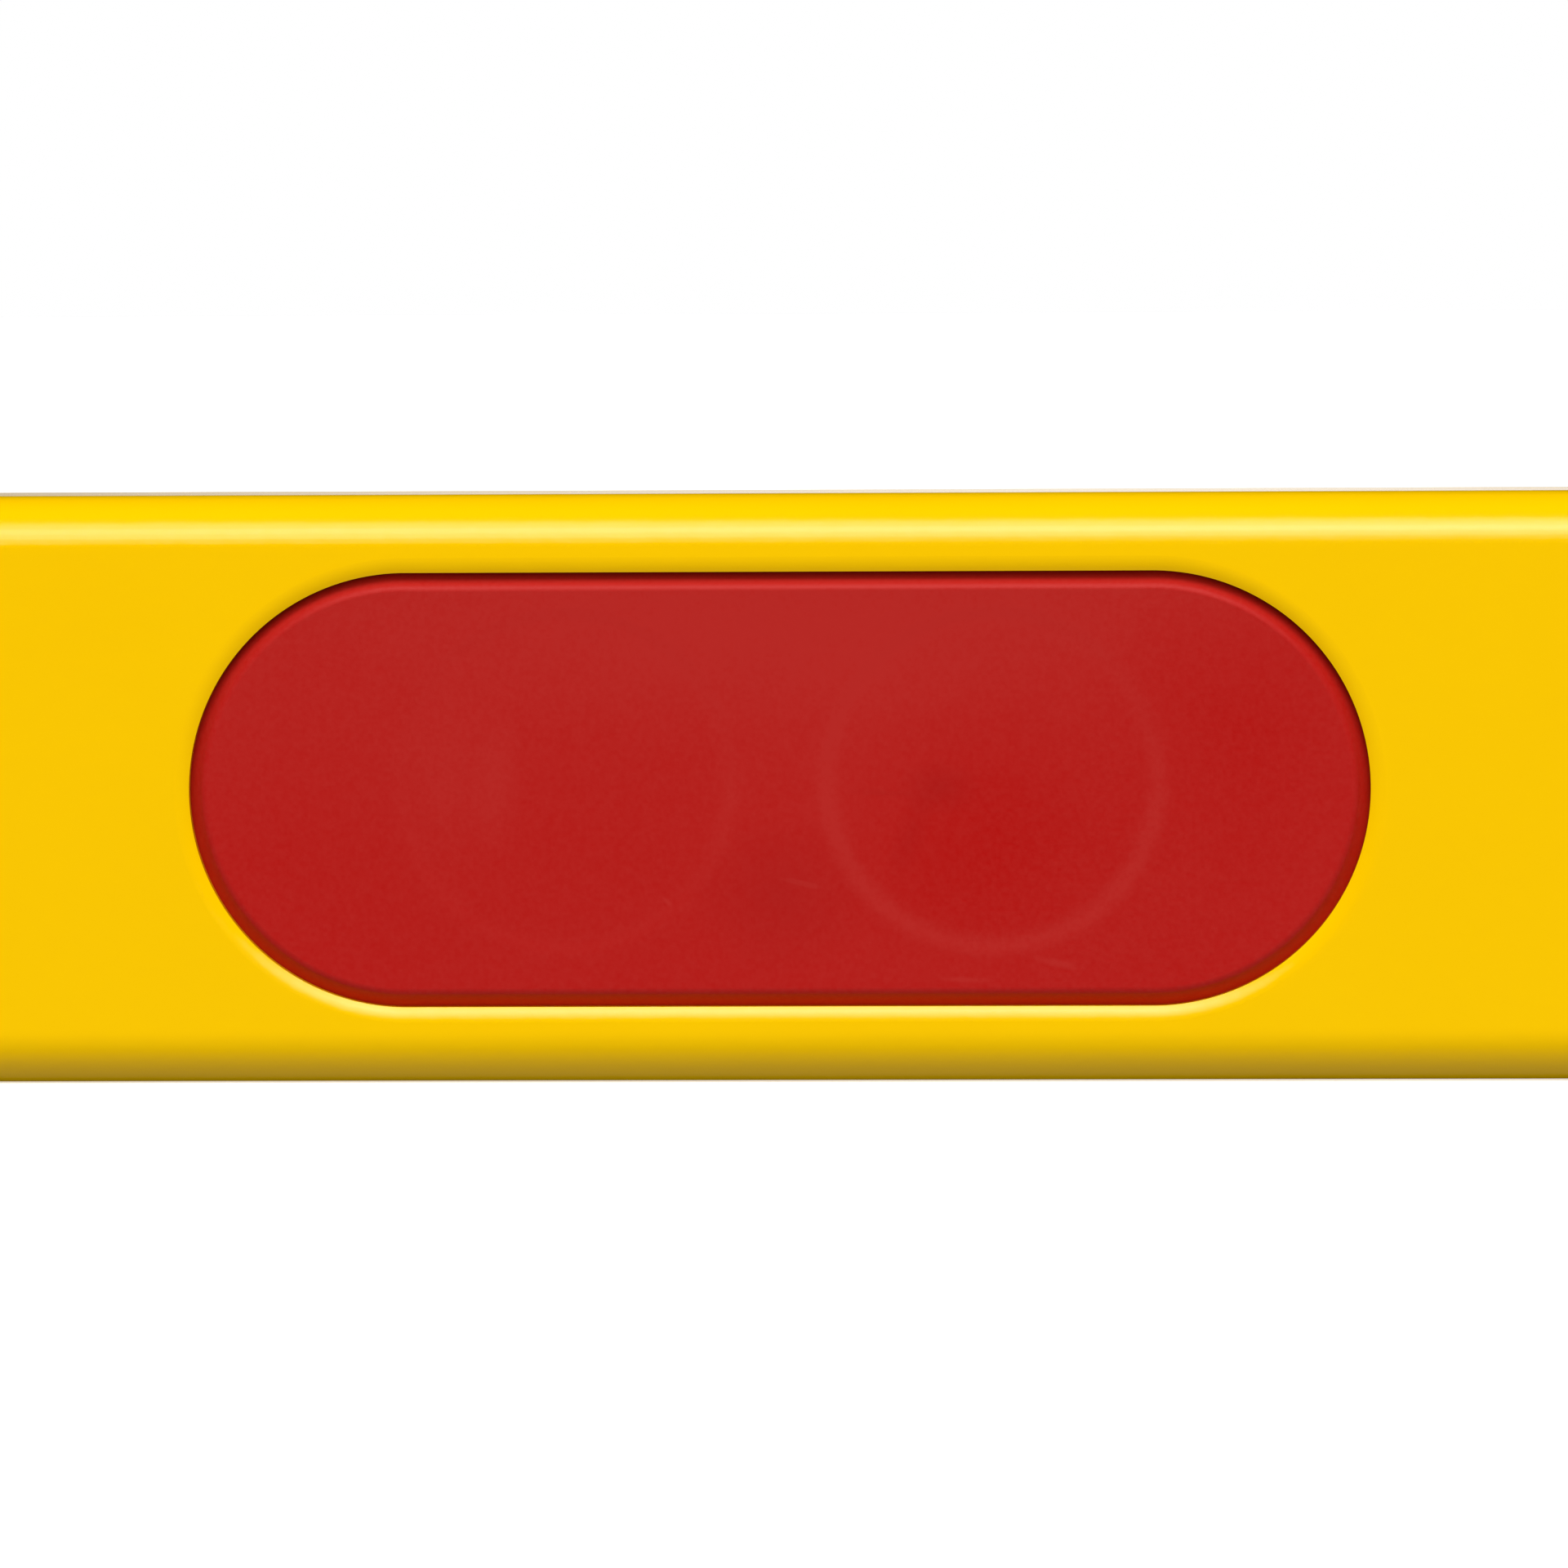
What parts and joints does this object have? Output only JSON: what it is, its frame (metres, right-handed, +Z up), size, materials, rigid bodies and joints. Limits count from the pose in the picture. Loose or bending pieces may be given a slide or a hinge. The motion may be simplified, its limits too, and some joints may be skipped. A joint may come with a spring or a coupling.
{
  "type": "spirit level",
  "caption": "Yellow box-section spirit level with red covered hand grips, a top-reading level vial, a see-through plumb vial near each end, end caps and rubber pads.",
  "frame": {"origin": "middle of the lower measuring face, on which the level lies", "axes": "+X along the level to its right end, -Y out of the front face, +Z up out of the upper measuring face"},
  "size_m": [0.6, 0.022, 0.05],
  "materials": {
    "powder_coated_aluminium": "gloss",
    "red_plastic": "satin",
    "clear_acrylic": "polished",
    "vial_fluid": "polished",
    "air_bubble": "polished",
    "black_ring": "matte",
    "black_rubber": "matte"
  },
  "bodies": {
    "level": {"body_profile": "powder_coated_aluminium", "end_cap_left": "red_plastic", "end_cap_right": "red_plastic", "end_pad_left": "black_rubber", "end_pad_right": "black_rubber", "grip_cover_front_left": "red_plastic", "grip_cover_front_right": "red_plastic", "grip_cover_rear_left": "red_plastic", "grip_cover_rear_right": "red_plastic", "level_fluid": "vial_fluid", "level_housing_front": "red_plastic", "level_housing_rear": "red_plastic", "level_ring_left": "black_ring", "level_ring_right": "black_ring", "level_vial_block": "clear_acrylic", "level_vial_plug": "clear_acrylic", "plumb_bezel_front_left": "red_plastic", "plumb_bezel_front_right": "red_plastic", "plumb_bezel_rear_left": "red_plastic", "plumb_bezel_rear_right": "red_plastic", "plumb_fluid_left": "vial_fluid", "plumb_fluid_right": "vial_fluid", "plumb_lens_front_left": "clear_acrylic", "plumb_lens_front_right": "clear_acrylic", "plumb_lens_rear_left": "clear_acrylic", "plumb_lens_rear_right": "clear_acrylic", "plumb_plug_left": "clear_acrylic", "plumb_plug_right": "clear_acrylic", "plumb_ring_lower_left": "black_ring", "plumb_ring_lower_right": "black_ring", "plumb_ring_upper_left": "black_ring", "plumb_ring_upper_right": "black_ring", "plumb_vial_left": "clear_acrylic", "plumb_vial_right": "clear_acrylic"},
    "centre_bubble": {"level_bubble": "air_bubble"},
    "left_bubble": {"plumb_bubble_left": "air_bubble"},
    "right_bubble": {"plumb_bubble_right": "air_bubble"}
  },
  "joints": [
    {"name": "level_bubble_slide", "type": "slide", "parent": "level", "child": "centre_bubble", "axis": [1, 0, 0], "range_m": [-0.0172, 0.0172], "stiffness_N_per_m": 1},
    {"name": "plumb_bubble_left_slide", "type": "slide", "parent": "level", "child": "left_bubble", "axis": [0, 0, 1], "range_m": [-0.0144, 0], "stiffness_N_per_m": 1, "springref_m": 0.02},
    {"name": "plumb_bubble_right_slide", "type": "slide", "parent": "level", "child": "right_bubble", "axis": [0, 0, 1], "range_m": [-0.0144, 0], "stiffness_N_per_m": 1, "springref_m": 0.02}
  ]
}
